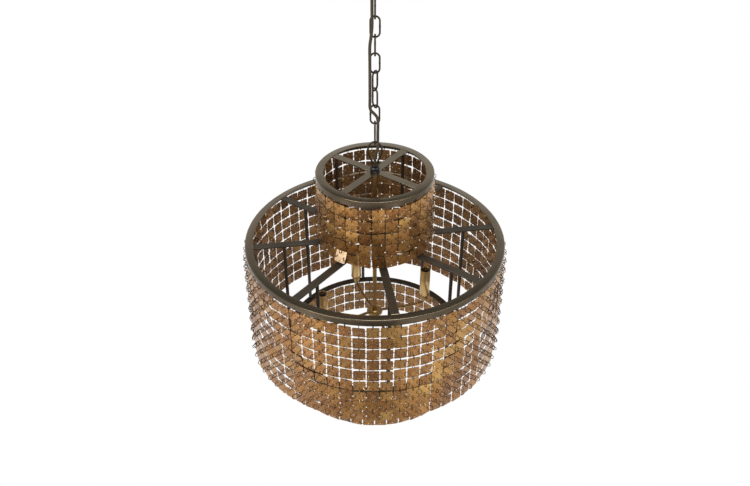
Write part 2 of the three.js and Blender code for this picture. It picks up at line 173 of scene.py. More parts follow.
lamps = [
    {"name": "key", "at": (-1.7, -1.9, 1.0), "size": 1.6, "power": 64, "color": (1.0, 0.97, 0.93)},
    {"name": "fill", "at": (2.1, -1.3, 0.5), "size": 1.4, "power": 18, "color": (0.97, 0.98, 1.0)},
    {"name": "top", "at": (0.2, -0.1, 1.7), "size": 1.2, "power": 26, "color": (1.0, 1.0, 1.0)},
    {"name": "lowLeft", "at": (-1.0, -0.7, -1.25), "size": 0.6, "power": 0.8, "color": (1.0, 0.97, 0.92)},
    {"name": "lowRight", "at": (0.6, -1.05, -1.25), "size": 0.6, "power": 0.7, "color": (1.0, 0.97, 0.92)},
]
for lamp in lamps:
    data = bpy.data.lights.new(lamp["name"], "AREA")
    data.size = lamp["size"]
    data.energy = lamp["power"]
    data.color = lamp["color"]
    light = bpy.data.objects.new(lamp["name"], data)
    light.location = lamp["at"]
    light.visible_camera = False
    aim = Vector((0, 0, lampTop * mm - stage["aimDrop"])) - Vector(lamp["at"])
    light.rotation_mode = "QUATERNION"
    light.rotation_quaternion = aim.to_track_quat("-Z", "Y")
    bpy.context.scene.collection.objects.link(light)
print("camera, floor and lights made")


# Materials: every finish is a patchy metal or cloth made from noise
def finish(name, look):
    material = bpy.data.materials.new(name)
    material.use_nodes = True
    nodes = material.node_tree.nodes
    links = material.node_tree.links
    shader = nodes["Principled BSDF"]
    coords = nodes.new("ShaderNodeTexCoord")
    mapping = nodes.new("ShaderNodeMapping")
    mapping.inputs["Scale"].default_value = look.get("stretch", (1, 1, 1))
    links.new(coords.outputs["Object"], mapping.inputs["Vector"])

    def noise(scale, detail=5.0, rough=0.6):
        node = nodes.new("ShaderNodeTexNoise")
        node.inputs["Scale"].default_value = scale
        node.inputs["Detail"].default_value = detail
        node.inputs["Roughness"].default_value = rough
        links.new(mapping.outputs["Vector"], node.inputs["Vector"])
        return node.outputs["Fac"]

    def ramp(source, stops):
        node = nodes.new("ShaderNodeValToRGB")
        elements = node.color_ramp.elements
        while len(elements) < len(stops):
            elements.new(0.5)
        for element, (position, color) in zip(elements, stops):
            element.position = position
            element.color = color
        links.new(source, node.inputs["Fac"])
        return node.outputs["Color"]

    def mix(factor, a, b, kind="MIX"):
        node = nodes.new("ShaderNodeMix")
        node.data_type = "RGBA"
        node.blend_type = kind
        for socket, value in (("Factor", factor), ("A", a), ("B", b)):
            target = [s for s in node.inputs if s.name == socket and s.enabled][0]
            if isinstance(value, (tuple, float)):
                target.default_value = value
            else:
                links.new(value, target)
        return [s for s in node.outputs if s.enabled][0]

    def levels(source, low, high, start=0.3, end=0.7):
        node = nodes.new("ShaderNodeMapRange")
        node.inputs["From Min"].default_value = start
        node.inputs["From Max"].default_value = end
        node.inputs["To Min"].default_value = low
        node.inputs["To Max"].default_value = high
        links.new(source, node.inputs["Value"])
        return node.outputs["Result"]

    patches = noise(look["patch"])
    grain = noise(look["grain"], 8.0, 0.7)
    if "tones" in look:
        tone = nodes.new("ShaderNodeAttribute")
        tone.attribute_name = "tone"
        count = len(look["tones"]) - 1
        base = ramp(tone.outputs["Fac"], [(i / count, paint(*c)) for i, c in enumerate(look["tones"])])
    else:
        base = paint(*look["base"])
    color = mix(levels(patches, 0.0, look.get("patchShare", 0.7)), base, paint(*look["patchColor"]))
    specks = levels(grain, 0.0, look.get("grainShare", 0.35), 0.52, 0.72)
    color = mix(specks, color, paint(*look["grainColor"]))
    if "fleckColor" in look:
        flecks = noise(look["fleck"], 3.0, 0.6)
        color = mix(levels(flecks, 0.0, look["fleckShare"], 0.5, 0.68), color, paint(*look["fleckColor"]))
    if "braid" in look:
        weave = nodes.new("ShaderNodeAttribute")
        weave.attribute_name = "weave"
        color = mix(levels(weave.outputs["Fac"], 0.0, 0.75, 0.0, 1.0), color, paint(*look["braid"]))
    links.new(color, shader.inputs["Base Color"])
    links.new(levels(patches, *look["roughness"]), shader.inputs["Roughness"])
    shader.inputs["Metallic"].default_value = look["metallic"]
    shader.inputs["Coat Weight"].default_value = look.get("coat", 0.0)
    shader.inputs["Coat Roughness"].default_value = 0.3
    bump = nodes.new("ShaderNodeBump")
    bump.inputs["Strength"].default_value = look["bump"]
    bump.inputs["Distance"].default_value = 0.0004
    links.new(grain, bump.inputs["Height"])
    links.new(bump.outputs["Normal"], shader.inputs["Normal"])
    return material


bronze = finish(
    "bronze",
    {
        "base": (114, 103, 85),
        "patch": 18,
        "patchColor": (96, 85, 68),
        "grain": 420,
        "grainColor": (64, 56, 46),
        "roughness": (0.16, 0.28),
        "metallic": 0.9,
        "bump": 0.08,
    },
)
# Darker copy of the hoop bronze for the outer skirt and its top rounding: painted shade, standing in for
# the dark reflection those faces show
shadedSkirtBronze = finish(
    "shadedSkirtBronze",
    {
        "base": (92, 80, 64),
        "patch": 18,
        "patchColor": (74, 64, 50),
        "grain": 420,
        "grainColor": (52, 45, 36),
        "roughness": (0.16, 0.28),
        "metallic": 0.9,
        "bump": 0.08,
    },
)
darkBronze = finish(
    "darkBronze",
    {
        "base": (80, 72, 60),
        "patch": 30,
        "patchColor": (58, 52, 44),
        "grain": 500,
        "grainColor": (40, 34, 28),
        "roughness": (0.42, 0.62),
        "metallic": 0.8,
        "bump": 0.15,
    },
)
chainBronze = finish(
    "chainBronze",
    {
        "base": (70, 61, 46),
        "patch": 70,
        "patchColor": (46, 40, 30),
        "grain": 700,
        "grainColor": (34, 28, 20),
        "roughness": (0.35, 0.55),
        "metallic": 0.85,
        "bump": 0.2,
    },
)
brass = finish(
    "brass",
    {
        "base": (168, 134, 82),
        "patch": 45,
        "patchColor": (128, 100, 60),
        "grain": 600,
        "grainColor": (80, 60, 30),
        "roughness": (0.22, 0.38),
        "metallic": 0.9,
        "bump": 0.07,
    },
)
sleeveBrass = finish(
    "sleeveBrass",
    {
        "base": (214, 182, 124),
        "patch": 60,
        "patchColor": (172, 134, 80),
        "grain": 380,
        "grainColor": (124, 94, 52),
        "stretch": (1, 1, 0.12),
        "roughness": (0.24, 0.36),
        "metallic": 0.85,
        "bump": 0.05,
    },
)
plateMetal = finish(
    "plateMetal",
    {
        "tones": [
            (112, 72, 38),
            (136, 90, 47),
            (154, 104, 54),
            (168, 118, 60),
            (184, 134, 70),
            (200, 152, 82),
            (214, 170, 98),
            # Palest stop: a painted highlight, used only by the one tilted plate
            (236, 206, 168),
        ],
        "patch": 75,
        "patchColor": (104, 68, 40),
        "patchShare": 0.45,
        "grain": 560,
        "grainColor": (66, 42, 24),
        "grainShare": 0.75,
        "fleck": 300,
        "fleckColor": (214, 168, 108),
        "fleckShare": 0.6,
        "roughness": (0.24, 0.42),
        "metallic": 0.96,
        "coat": 0.3,
        "bump": 0.3,
    },
)
plateBack = finish(
    "plateBack",
    {
        "tones": [(124, 90, 55), (160, 119, 74), (196, 150, 97)],
        "patch": 75,
        "patchColor": (76, 58, 40),
        "patchShare": 0.5,
        "grain": 560,
        "grainColor": (48, 36, 26),
        "grainShare": 0.6,
        "roughness": (0.38, 0.56),
        "metallic": 0.9,
        "bump": 0.25,
    },
)
ringMetal = finish(
    "ringMetal",
    {
        # Ring tones run from dark brown, the rings' own colour, to a pale stop that is a painted glint
        "tones": [(72, 52, 32), (104, 77, 46), (146, 110, 68), (236, 202, 150)],
        "patch": 200,
        "patchColor": (54, 41, 26),
        "patchShare": 0.4,
        "grain": 900,
        "grainColor": (40, 31, 21),
        "roughness": (0.2, 0.34),
        "metallic": 0.9,
        "bump": 0.1,
    },
)
cloth = finish(
    "cloth",
    {
        "base": (70, 59, 41),
        "patch": 90,
        "patchColor": (56, 47, 33),
        "grain": 1500,
        "grainColor": (42, 34, 24),
        "braid": (42, 34, 23),
        "roughness": (0.75, 0.92),
        "metallic": 0.0,
        "bump": 0.35,
    },
)
holder = finish(
    "holder",
    {
        "base": (44, 38, 32),
        "patch": 80,
        "patchColor": (30, 26, 22),
        "grain": 700,
        "grainColor": (24, 20, 17),
        "roughness": (0.5, 0.75),
        "metallic": 0.0,
        "bump": 0.15,
    },
)
blackened = finish(
    "blackened",
    {
        "base": (66, 64, 68),
        "patch": 120,
        "patchColor": (40, 38, 41),
        "grain": 700,
        "grainColor": (28, 26, 28),
        "roughness": (0.22, 0.36),
        "metallic": 0.9,
        "bump": 0.12,
    },
)
steel = finish(
    "steel",
    {
        "base": (158, 158, 156),
        "patch": 40,
        "patchColor": (128, 128, 126),
        "grain": 600,
        "grainColor": (96, 94, 90),
        "roughness": (0.35, 0.55),
        "metallic": 0.9,
        "bump": 0.12,
    },
)
print("materials made")


# Shapes are lists of points and faces in millimetres
def joinShapes(shapes):
    points, faces = [], []
    for shapePoints, shapeFaces in shapes:
        start = len(points)
        points.extend(shapePoints)
        faces.extend(tuple(start + i for i in face) for face in shapeFaces)
    return points, faces


def moved(shape, offset=(0, 0, 0), angle=0.0):
    points, faces = shape
    c, s = math.cos(angle), math.sin(angle)
    ox, oy, oz = offset
    return [
        (c * (px + ox) - s * (py + oy), s * (px + ox) + c * (py + oy), pz + oz) for px, py, pz in points
    ], faces


def lathe(profile, segments, closed=True):
    points, rings = [], []
    for radius, height in profile:
        if radius < 1e-6:
            rings.append([len(points)] * segments)
            points.append((0, 0, height))
            continue
        rings.append(list(range(len(points), len(points) + segments)))
        for i in range(segments):
            a = 2 * math.pi * i / segments
            points.append((radius * math.cos(a), radius * math.sin(a), height))
    faces = []
    count = len(rings) if closed else len(rings) - 1
    for k in range(count):
        low, high = rings[k], rings[(k + 1) % len(rings)]
        for i in range(segments):
            j = (i + 1) % segments
            face = [low[i], low[j], high[j], high[i]]
            face = [v for n, v in enumerate(face) if v not in face[:n]]
            if len(face) > 2:
                faces.append(tuple(face))
    return points, faces


def smoothed(points, steps):
    vectors = [Vector(p) for p in points]
    vectors = [2 * vectors[0] - vectors[1]] + vectors + [2 * vectors[-1] - vectors[-2]]
    result = []
    for i in range(1, len(vectors) - 2):
        a, b, c, d = vectors[i - 1 : i + 3]
        knots = [0.0]
        for p, q in ((a, b), (b, c), (c, d)):
            knots.append(knots[-1] + max((q - p).length, 1e-6) ** 0.5)
        for k in range(steps):
            t = knots[1] + (knots[2] - knots[1]) * k / steps
            ab = a.lerp(b, (t - knots[0]) / (knots[1] - knots[0]))
            bc = b.lerp(c, (t - knots[1]) / (knots[2] - knots[1]))
            cd = c.lerp(d, (t - knots[2]) / (knots[3] - knots[2]))
            abc = ab.lerp(bc, (t - knots[0]) / (knots[2] - knots[0]))
            bcd = bc.lerp(cd, (t - knots[1]) / (knots[3] - knots[1]))
            result.append(abc.lerp(bcd, (t - knots[1]) / (knots[2] - knots[1])))
    result.append(vectors[-2])
    return result


def sweep(route, radius, sides, closed=False, swell=None):
    count = len(route)
    points, faces = [], []
    normal = None
    for i, at in enumerate(route):
        ahead = route[(i + 1) % count] if closed or i + 1 < count else at
        behind = route[i - 1] if closed or i > 0 else at
        tangent = (ahead - behind).normalized()
        if normal is None:
            guess = Vector((0, 1, 0)) if abs(tangent.y) < 0.9 else Vector((1, 0, 0))
            normal = tangent.cross(guess).cross(tangent).normalized()
        else:
            normal = (normal - tangent * normal.dot(tangent)).normalized()
        side = tangent.cross(normal)
        size = radius * (swell(i / count) if swell else 1.0)
        for j in range(sides):
            a = 2 * math.pi * j / sides
            points.append(tuple(at + size * (math.cos(a) * normal + math.sin(a) * side)))
    for i in range(count if closed else count - 1):
        for j in range(sides):
            k, n = (i + 1) % count, (j + 1) % sides
            faces.append((i * sides + j, i * sides + n, k * sides + n, k * sides + j))
    if not closed:
        faces.append(tuple(reversed(range(sides))))
        faces.append(tuple(range((count - 1) * sides, count * sides)))
    return points, faces


def box(low, high):
    (a, b, c), (d, e, f) = low, high
    points = [(a, b, c), (d, b, c), (d, e, c), (a, e, c), (a, b, f), (d, b, f), (d, e, f), (a, e, f)]
    faces = [(0, 3, 2, 1), (4, 5, 6, 7), (0, 1, 5, 4), (1, 2, 6, 5), (2, 3, 7, 6), (3, 0, 4, 7)]
    return points, faces


def piece(name, shape, material, body, nodes=(), edge=0.0, sharp=35):
    points, faces = shape
    mesh = bpy.data.meshes.new(name)
    mesh.from_pydata([(px * mm, py * mm, pz * mm) for px, py, pz in points], [], faces)
    mesh.update()
    mesh.materials.append(material)
    mesh.polygons.foreach_set("use_smooth", [True] * len(mesh.polygons))
    mesh.set_sharp_from_angle(angle=math.radians(sharp))
    made = bpy.data.objects.new(name, mesh)
    bpy.context.scene.collection.objects.link(made)
    if edge:
        bevel = made.modifiers.new("edge", "BEVEL")
        bevel.width = edge * mm
        bevel.segments = 2
        bevel.limit_method = "ANGLE"
        bevel.angle_limit = math.radians(40)
    if body:
        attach(made, body)
    if nodes:
        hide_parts(*nodes)
    return made


# Hoops of rolled angle with softened edges
hoops = {
    "small": dict(radius=116, rise=156, columns=28, rows=5, panels=4, turn=9.76, tone=0.53),
    "big": dict(radius=265, rise=0, columns=64, rows=9, panels=8, turn=2.15, tone=0.42),
    "lower": dict(radius=194, rise=-255, columns=48, rows=3, panels=4, turn=0.0, tone=0.42),
}
section = {"flange": 16, "thick": 3, "skirt": 13.5, "soft": 1.1, "segments": 144, "shadedOutside": (6, 10)}


def hoopShape(radius, top):
    flange, thick, skirt, soft = (section[k] for k in ("flange", "thick", "skirt", "soft"))
    inner = radius - flange
    profile = [
        (inner, top - thick + 0.5),
        (inner + 0.5, top - thick),
        (radius - thick - 1.2, top - thick),
        (radius - thick, top - thick - 1.2),
        (radius - thick, top - skirt + 0.4),
        (radius - thick + 0.4, top - skirt),
        (radius - 0.4, top - skirt),
        (radius, top - skirt + 0.4),
        (radius, top - 2.2 * soft),
        (radius - 0.25 * soft, top - 1.1 * soft),
        (radius - 0.9 * soft, top - 0.35 * soft),
        (radius - 2.0 * soft, top),
        (inner + 0.5, top),
        (inner, top - 0.5),
    ]
    return lathe(profile, section["segments"])


for name in ("small", "big"):
    hoop = hoops[name]
    shape = hoopShape(hoop["radius"], lampTop + hoop["rise"])
    made = piece(name + "HoopRing", shape, bronze, "lamp", [name + "_hoop"])
    # The outer skirt faces and their rounding get the darker bronze copy: painted shade
    made.data.materials.append(shadedSkirtBronze)
    first, last = (k * section["segments"] for k in section["shadedOutside"])
    sides = [1 if first <= i < last else 0 for i in range(len(made.data.polygons))]
    made.data.polygons.foreach_set("material_index", sides)

# The flat cross and spider with their centre plates, and the uprights and rods that stand on them
stars = {
    "spider": {"arms": 8, "reach": 249.4, "thick": 3.5, "turn": 8.7, "plate": 24},
    "cross": {"arms": 4, "reach": 100.4, "thick": 3, "turn": 53.7, "plate": 12},
}
bars = {
    "width": 16,
    "sink": 0.15,
    "beadInset": 0.2,
    "beadSink": 0.5,
    "upright": 3.5,
    "uprightReach": 96,
    "uprightTop": 153.2,
    "uprightCollar": 5.2,
    "rod": 3.5,
    "rodReach": 186,
    "rodCollar": 5.0,
    "collarHeight": 1.6,
}
crossTop = lampTop + hoops["small"]["rise"]


def star(look, top):
    shapes = []
    for k in range(look["arms"]):
        arm = box((3, -bars["width"] / 2, top - look["thick"]), (look["reach"], bars["width"] / 2, top))
        shapes.append(moved(arm, angle=math.radians(look["turn"] + 360 / look["arms"] * k)))
    low, high = top - look["thick"] - 0.05, top + 0.05
    profile = [(4.8, low), (look["plate"], low), (look["plate"], high), (4.8, high)]
    return joinShapes(shapes + [lathe(profile, 48)])


def weldBead(reach, angle, height, seed):
    draw = random.Random(seed)
    route = []
    for i in range(15):
        across = -bars["width"] / 2 + bars["width"] * i / 14
        bow = reach - math.sqrt(reach * reach - across * across)
        wobble, lift = draw.uniform(-0.15, 0.15), draw.uniform(-0.1, 0.1)
        route.append(Vector((reach - bow + wobble, across, height + lift)))
    bead = sweep(route, 1.0, 8, swell=lambda t: 0.85 + 0.3 * abs(math.sin(22 * t)))
    return moved(bead, angle=math.radians(angle))


cross = star(stars["cross"], crossTop - bars["sink"])
piece("topCrossBars", cross, bronze, "lamp", ["top_cross"], edge=0.5)
spider = star(stars["spider"], lampTop - bars["sink"])
piece("spiderBars", spider, darkBronze, "lamp", ["spider"], edge=0.5)
beads = []
for look, top, seed in ((stars["spider"], lampTop, 0), (stars["cross"], crossTop, 20)):
    for k in range(look["arms"]):
        angle = look["turn"] + 360 / look["arms"] * k
        beads.append(weldBead(look["reach"] - bars["beadInset"], angle, top - bars["beadSink"], seed + k))
piece("weldBeads", joinShapes(beads), bronze, "lamp")


def post(radius, bottom, top, reach, angle, segments=24):
    profile = [(0, bottom), (radius, bottom), (radius, top), (0, top)]
    return moved(lathe(profile, segments, closed=False), (reach, 0, 0), math.radians(angle))


for k in range(4):
    angle = stars["cross"]["turn"] + 90 * k
    reach = bars["uprightReach"]
    upright = post(bars["upright"], lampTop - 0.5, lampTop + bars["uprightTop"], reach, angle)
    collar = post(bars["uprightCollar"], lampTop, lampTop + bars["collarHeight"], reach, angle)
    shape = joinShapes([upright, collar])
    piece("uprightRod" + str(k + 1), shape, darkBronze, "lamp", ["upright_" + str(k + 1)])

rods = []
lowTop = lampTop + hoops["lower"]["rise"]
collarLow = lowTop - 0.2
for k in range(8):
    angle = stars["spider"]["turn"] + 45 * k
    rods.append(post(bars["rod"], lowTop - 0.5, lampTop - 3.4, bars["rodReach"], angle))
    collar = post(bars["rodCollar"], collarLow, collarLow + bars["collarHeight"], bars["rodReach"], angle)
    rods.append(collar)
lowHoop = hoopShape(hoops["lower"]["radius"], lowTop)
piece("lowerHoopRing", lowHoop, darkBronze, "lamp", ["lower_hoop"])
piece("lowerHoopRods", joinShapes(rods), darkBronze, "lamp", ["lower_hoop"])
print("hoops, bars and rods made")

# Plates: thin squares with softened corners, four holes and a slight dome, joined by jump rings
plates = {
    "rowPitch": 27.15,
    "rowSlot": 3.0,
    "columnSlot": 2.1,
    "firstSlot": 16.4,
    "inset": 0.8,
    "thick": 0.9,
    "corner": 1.9,
    "hole": 1.35,
    "holeInset": 4.0,
    "tilt": 3.0,
    "twist": 1.2,
    "dome": (0.15, 0.9),
    "ring": 5.5,
    "ringWire": 0.72,
    "ringSwing": 14,
    "ringDroop": (8, 34),
    # One plate of the small drum hangs tilted outward, and its pale tone is a painted highlight
    "paintedGlintPlate": {"drum": "small", "column": 17, "row": 4, "tilt": -25, "tone": 1.0},
}


def plateTemplate(width, height):
    corner, inset, size = plates["corner"], plates["holeInset"], plates["hole"]
    w, h = width / 2, height / 2
    outline = []
    for sx, sy, flip in ((1, -1, False), (1, 1, True), (-1, 1, False), (-1, -1, True)):
        bend = [(w - corner, h), (w - 0.3 * corner, h - 0.3 * corner), (w, h - corner)]
        ordered = bend[::-1] if flip else bend
        outline += [(sx * a, sy * b) for a, b in ordered]
    centres = [(0, h - inset), (0, inset - h), (w - inset, 0), (inset - w, 0)]
    hexagon = [math.pi / 3 * i + 0.3 for i in range(6)]
    holes = [[(hx + size * math.cos(a), hy + size * math.sin(a)) for a in hexagon] for hx, hy in centres]
    inside = [(a * w, b * h) for a in (-0.5, 0, 0.5) for b in (-0.5, 0, 0.5)]
    flat = outline + [p for hole in holes for p in hole] + inside
    loops = [list(range(len(outline)))]
    start = len(outline)
    for hole in holes:
        loops.append(list(range(start, start + len(hole))))
        start += len(hole)
    edges = [(loop[i], loop[(i + 1) % len(loop)]) for loop in loops[1:] for i in range(len(loop))]
    meshed = delaunay_2d_cdt([Vector(p) for p in flat], edges, [loops[0]], 1, 1e-4)
    place = {source: index for index, sources in enumerate(meshed[3]) for source in sources}
    spots = [(p.x, p.y) for p in meshed[0]]
    triangles = []
    for face in meshed[2]:
        cx = sum(spots[i][0] for i in face) / 3
        cy = sum(spots[i][1] for i in face) / 3
        if all(math.hypot(cx - hx, cy - hy) >= 0.8 * size for hx, hy in centres):
            triangles.append(tuple(face))
    count = len(spots)
    faces = triangles + [tuple(count + i for i in reversed(t)) for t in triangles]
    for loop in loops:
        around = [place[i] for i in loop]
        for i in range(len(around)):
            a, b = around[i], around[(i + 1) % len(around)]
            faces.append((a, count + a, count + b, b))
    return np.array(spots), faces, len(triangles)


def torusTemplate(ringRadius, wire, turns=14, sides=5):
    points, faces = [], []
    for i in range(turns):
        a = 2 * math.pi * i / turns
        for j in range(sides):
            b = 2 * math.pi * j / sides
            reach = ringRadius + wire * math.cos(b)
            points.append((reach * math.cos(a), reach * math.sin(a), wire * math.sin(b)))
            k, n = (i + 1) % turns, (j + 1) % sides
            faces.append((i * sides + j, k * sides + j, k * sides + n, i * sides + n))
    return np.array(points), faces


def tonedPiece(name, chunks, tones, faces, material, nodes=(), sharp=35, back=None):
    size = len(chunks[0])
    points = np.concatenate(chunks)
    allFaces = [tuple(i + k * size for i in face) for k in range(len(chunks)) for face in faces]
    made = piece(name, (points.tolist(), allFaces), material, "lamp", nodes, sharp=sharp)
    attribute = made.data.attributes.new("tone", "FLOAT", "POINT")
    attribute.data.foreach_set("value", np.repeat(np.array(tones, np.float32), size))
    if back:
        backMaterial, first, last = back
        made.data.materials.append(backMaterial)
        sides = [1 if first <= i < last else 0 for i in range(len(faces))]
        made.data.polygons.foreach_set("material_index", sides * len(chunks))
    return made


def curtain(name, hoop, seed):
    draw = random.Random(seed)
    outer = hoop["radius"] - plates["inset"]
    step = 2 * math.pi / hoop["columns"]
    width = outer * step - plates["columnSlot"]
    height = plates["rowPitch"] - plates["rowSlot"]
    spots, faces, front = plateTemplate(width, height)
    ringPoints, ringFaces = torusTemplate(plates["ring"], plates["ringWire"])
    top = lampTop + hoop["rise"] - plates["firstSlot"]
    perPanel = hoop["columns"] // hoop["panels"]
    waves = [(draw.uniform(0.2, 0.9), draw.uniform(0.3, 1.1), draw.uniform(0, 6.28)) for _ in range(4)]

    def onDrum(local, angle, height):
        c, s = math.cos(angle), math.sin(angle)
        tangent, radial = np.array((-s, c, 0)), np.array((c, s, 0))
        up = np.array((0, 0, 1.0))
        centre = radial * (outer - 0.5) + up * height
        return centre + local[:, :1] * tangent + local[:, 1:2] * up + local[:, 2:3] * radial

    for panel in range(hoop["panels"]):
        chunks, tones, rings, ringTonesAndGlints = [], [], [], []
        for column in range(panel * perPanel, (panel + 1) * perPanel):
            angle = math.radians(hoop["turn"]) + (column + 0.5) * step
            for row in range(hoop["rows"]):
                middle = top - (row + 0.5) * plates["rowPitch"]
                dome = draw.uniform(*plates["dome"])
                u, v = spots[:, 0] / (width / 2), spots[:, 1] / (height / 2)
                lift = dome * (1 - u * u) * (1 - v * v) + draw.uniform(-0.25, 0.25) * u * v
                solid = np.concatenate(
                    [
                        np.stack([spots[:, 0], spots[:, 1], lift + plates["thick"] / 2], 1),
                        np.stack([spots[:, 0], spots[:, 1], lift - plates["thick"] / 2], 1),
                    ]
                )
                tilt = [math.radians(draw.gauss(0, plates["tilt"])) for _ in range(2)]
                twist = math.radians(draw.gauss(0, plates["twist"]))
                zone = sum(math.sin(a * column + b * row + c) for a, b, c in waves) / 4
                # Plate tones stop below the palest stop, which is the painted highlight kept for the
                # tilted plate
                tone = min(0.85, max(0, hoop["tone"] + 0.3 * zone + draw.uniform(-0.24, 0.24)))
                paintedGlintPlate = plates["paintedGlintPlate"]
                if (name, column, row) == (paintedGlintPlate["drum"], paintedGlintPlate["column"], paintedGlintPlate["row"]):
                    tilt[0], tone = math.radians(paintedGlintPlate["tilt"]), paintedGlintPlate["tone"]
                spin = Matrix.Rotation(tilt[0], 3, "X") @ Matrix.Rotation(tilt[1], 3, "Y")
                spin = spin @ Matrix.Rotation(twist, 3, "Z")
                turned = solid @ np.array(spin).T
                turned[:, 2] += draw.uniform(-0.3, 0.3)
                chunks.append(onDrum(turned, angle, middle))
                tones.append(tone)
                for across in (False, True):
                    slot = plates["columnSlot"] if across else plates["rowSlot"]
                    reach = slot / 2 + plates["holeInset"]
                    out = math.sqrt(max(0, plates["ring"] ** 2 - reach**2))
                    stand = Matrix.Rotation(math.pi / 2, 3, "X" if across else "Y")
                    ring = ringPoints @ np.array(stand).T + np.array((0, 0, out))
                    if across:
                        swing = Matrix.Rotation(math.radians(draw.uniform(*plates["ringDroop"])), 3, "X")
                    else:
                        swing = Matrix.Rotation(math.radians(draw.gauss(0, plates["ringSwing"])), 3, "Y")
                    ring = ring @ np.array(swing).T
                    if across:
                        rings.append(onDrum(ring, angle + step / 2, middle))
                    else:
                        rings.append(onDrum(ring, angle, middle + plates["rowPitch"] / 2))
                    # Most rings stay dark; the few near the top of the range carry the painted glint
                    ringTonesAndGlints.append(draw.random() ** 2)
        label = name + "Plates" + str(panel + 1)
        node = name + "_curtain_" + str(panel + 1)
        back = (plateBack, front, 2 * front)
        tonedPiece(label, chunks, tones, faces, plateMetal, [node], sharp=30, back=back)
        ringLabel = name + "Rings" + str(panel + 1)
        tonedPiece(ringLabel, rings, ringTonesAndGlints, ringFaces, ringMetal, [node], sharp=180)


for seed, name in enumerate(hoops):
    curtain(name, hoops[name], 40 + seed)
    print(name, "curtain made")

# Stem, coupling, nut and hub
stemLook = {"radius": 4.3, "bore": 3.2, "foot": 5.3, "top": 167.8, "hubDrop": 205}
hubBottom = lampTop - stemLook["hubDrop"]
crossBottom = crossTop - stars["cross"]["thick"]
stemLow, stemHigh = hubBottom + stemLook["foot"], lampTop + stemLook["top"]
bore, tube = stemLook["bore"], stemLook["radius"]
stemShape = lathe([(bore, stemLow), (tube, stemLow), (tube, stemHigh), (bore, stemHigh)], 32)
piece("stemTube", stemShape, brass, "lamp", ["stem"])
couplingTop = crossBottom - 0.3
couplingShape = lathe(
    [
        (4.6, couplingTop - 36),
        (5.6, couplingTop - 36),
        (6.6, couplingTop - 35),
        (7, couplingTop - 33),
        (7, couplingTop - 5),
        (7.6, couplingTop - 4),
        (7.6, couplingTop),
        (4.6, couplingTop),
    ],
    40,
)
piece("couplingTube", couplingShape, brass, "lamp", ["stem_coupling"])
nutBottom = crossTop + 0.3
nutShape = lathe(
    [
        (4.6, nutBottom),
        (9.6, nutBottom),
        (9.8, nutBottom + 1.2),
        (8.2, nutBottom + 2.4),
        (9.2, nutBottom + 4.0),
        (9.4, nutBottom + 6.5),
        (8.2, nutBottom + 8.6),
        (6.4, nutBottom + 9.8),
        (6.8, nutBottom + 11.2),
        (6.6, nutBottom + 12),
        (4.6, nutBottom + 12),
    ],
    40,
)
piece("crossNut", nutShape, blackened, "lamp", ["top_nut"])
hubShape = lathe(
    [
        (0, hubBottom),
        (13, hubBottom),
        (15.6, hubBottom + 0.8),
        (16.8, hubBottom + 2.4),
        (17, hubBottom + 5),
        (17, hubBottom + 7.6),
        (16.4, hubBottom + 8.6),
        (15.4, hubBottom + 8.8),
        (14.4, hubBottom + 8.0),
        (9, hubBottom + 8.2),
        (7.4, hubBottom + 9.4),
        (6.4, hubBottom + 10),
        (4.6, hubBottom + 10),
        (4.6, hubBottom + 5),
        (0, hubBottom + 5),
    ],
    56,
    closed=False,
)
piece("hubDish", hubShape, sleeveBrass, "lamp", ["hub"])
hubNutTop = hubBottom - 0.3
hubNutShape = lathe(
    [
        (0, hubNutTop - 13.2),
        (1.6, hubNutTop - 13),
        (3.2, hubNutTop - 12),
        (5.4, hubNutTop - 9.4),
        (6, hubNutTop - 7.2),
        (5.4, hubNutTop - 4.6),
        (4.4, hubNutTop - 3),
        (6.8, hubNutTop - 1.6),
        (7.2, hubNutTop),
        (0, hubNutTop),
    ],
    32,
    closed=False,
)
piece("hubFinial", hubNutShape, brass, "lamp", ["hub_nut"])

